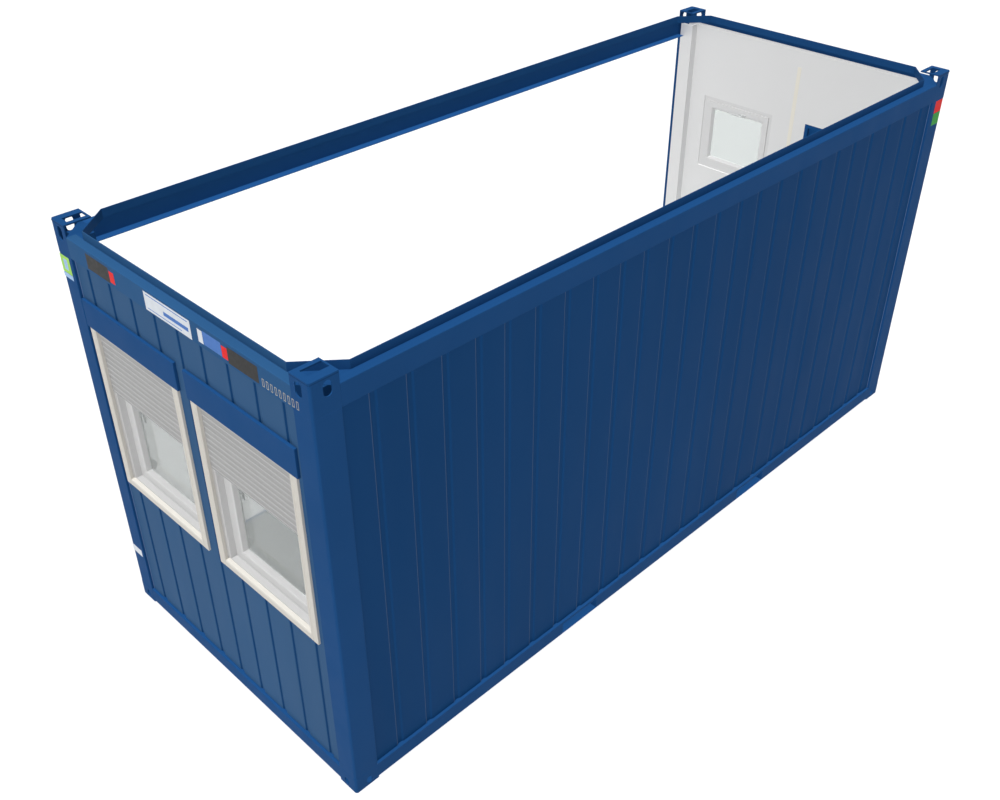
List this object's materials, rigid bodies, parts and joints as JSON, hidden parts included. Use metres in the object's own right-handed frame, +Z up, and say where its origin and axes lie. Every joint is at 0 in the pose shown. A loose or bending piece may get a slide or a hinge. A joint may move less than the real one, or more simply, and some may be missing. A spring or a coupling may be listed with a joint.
{
  "type": "portable site cabin",
  "caption": "Steel-framed portable site cabin, open along one long side and above, with shuttered end windows, a hinged end door, lifting corners and fork pockets.",
  "frame": {"origin": "centre of the footprint, at ground level under the corner fittings", "axes": "+Z up; +Y along the cabin towards the door end, windows at the -Y end; closed long wall on +X, open long side on -X"},
  "size_m": [2.438, 6.058, 2.96],
  "materials": {
    "frame_blue": "satin coach paint over folded and welded steel",
    "wall_blue": "satin coil-coated profiled sheet",
    "lining_white": "matt white coated lining board",
    "floor_vinyl": "speckled grey sheet vinyl",
    "floor_wood": "raw cement-bonded wood board",
    "underfloor_steel": "galvanised sheet and primed channel",
    "shutter_box_blue": "satin painted cover",
    "curtain_grey": "matt grey hollow slats",
    "guide_cream": "satin cream folded sheet",
    "window_white": "semi-gloss white extrusion",
    "window_glass": "clear glass",
    "handle_grey": "satin anodised",
    "door_blue": "satin painted steel sheet",
    "plate_grey": "matt printed plate",
    "sign_white": "semi-gloss printed film",
    "sign_red": "semi-gloss printed film",
    "sign_green": "semi-gloss printed film",
    "seal_black": "matt rubber profile"
  },
  "bodies": {
    "cabin": {"front_left_corner_post": "frame_blue", "front_right_corner_post": "frame_blue", "rear_left_corner_post": "frame_blue", "rear_right_corner_post": "frame_blue", "front_left_top_fitting": "frame_blue", "front_right_top_fitting": "frame_blue", "rear_left_top_fitting": "frame_blue", "rear_right_top_fitting": "frame_blue", "bottom_fittings": "frame_blue", "front_floor_rail": "frame_blue", "rear_floor_rail": "frame_blue", "closed_side_floor_rail": "frame_blue", "open_side_floor_rail": "frame_blue", "floor_cross_members": "underfloor_steel", "front_fork_pocket": "frame_blue", "rear_fork_pocket": "frame_blue", "underfloor_sheets": "underfloor_steel", "floor_board": "floor_wood", "floor_covering": "floor_vinyl", "front_roof_rail": "frame_blue", "rear_roof_rail": "frame_blue", "closed_side_roof_rail": "frame_blue", "open_side_roof_rail": "frame_blue", "roof_gutter_corners": "frame_blue", "side_wall_panel_1": "wall_blue", "side_wall_panel_2": "wall_blue", "side_wall_panel_3": "wall_blue", "side_wall_panel_4": "wall_blue", "side_wall_panel_5": "wall_blue", "side_wall_lining": "lining_white", "front_wall_panel_left": "wall_blue", "front_wall_panel_right": "wall_blue", "front_wall_lining": "lining_white", "rear_wall_panel_window": "wall_blue", "rear_wall_panel_over_door": "wall_blue", "rear_wall_panels_beside_door": "wall_blue", "rear_wall_lining_window": "lining_white", "rear_wall_lining_over_door": "lining_white", "rear_wall_linings_beside_door": "lining_white", "corner_post_covers": "lining_white", "shutter_boxes": "shutter_box_blue", "shutter_curtains": "curtain_grey", "window_guides": "guide_cream", "window_frames": "window_white", "window_sashes": "window_white", "window_glass": "window_glass", "window_handles": "handle_grey", "belt_winders": "window_white", "door_frame": "door_blue"},
    "door": {"door_leaf": "door_blue", "door_handles": "handle_grey"}
  },
  "joints": [
    {"name": "door_hinge", "type": "hinge", "parent": "cabin", "child": "door", "pos_m": [0.9885, 3.02, 0.162], "axis": [0, 0, -1], "range_deg": [0, 110]}
  ]
}
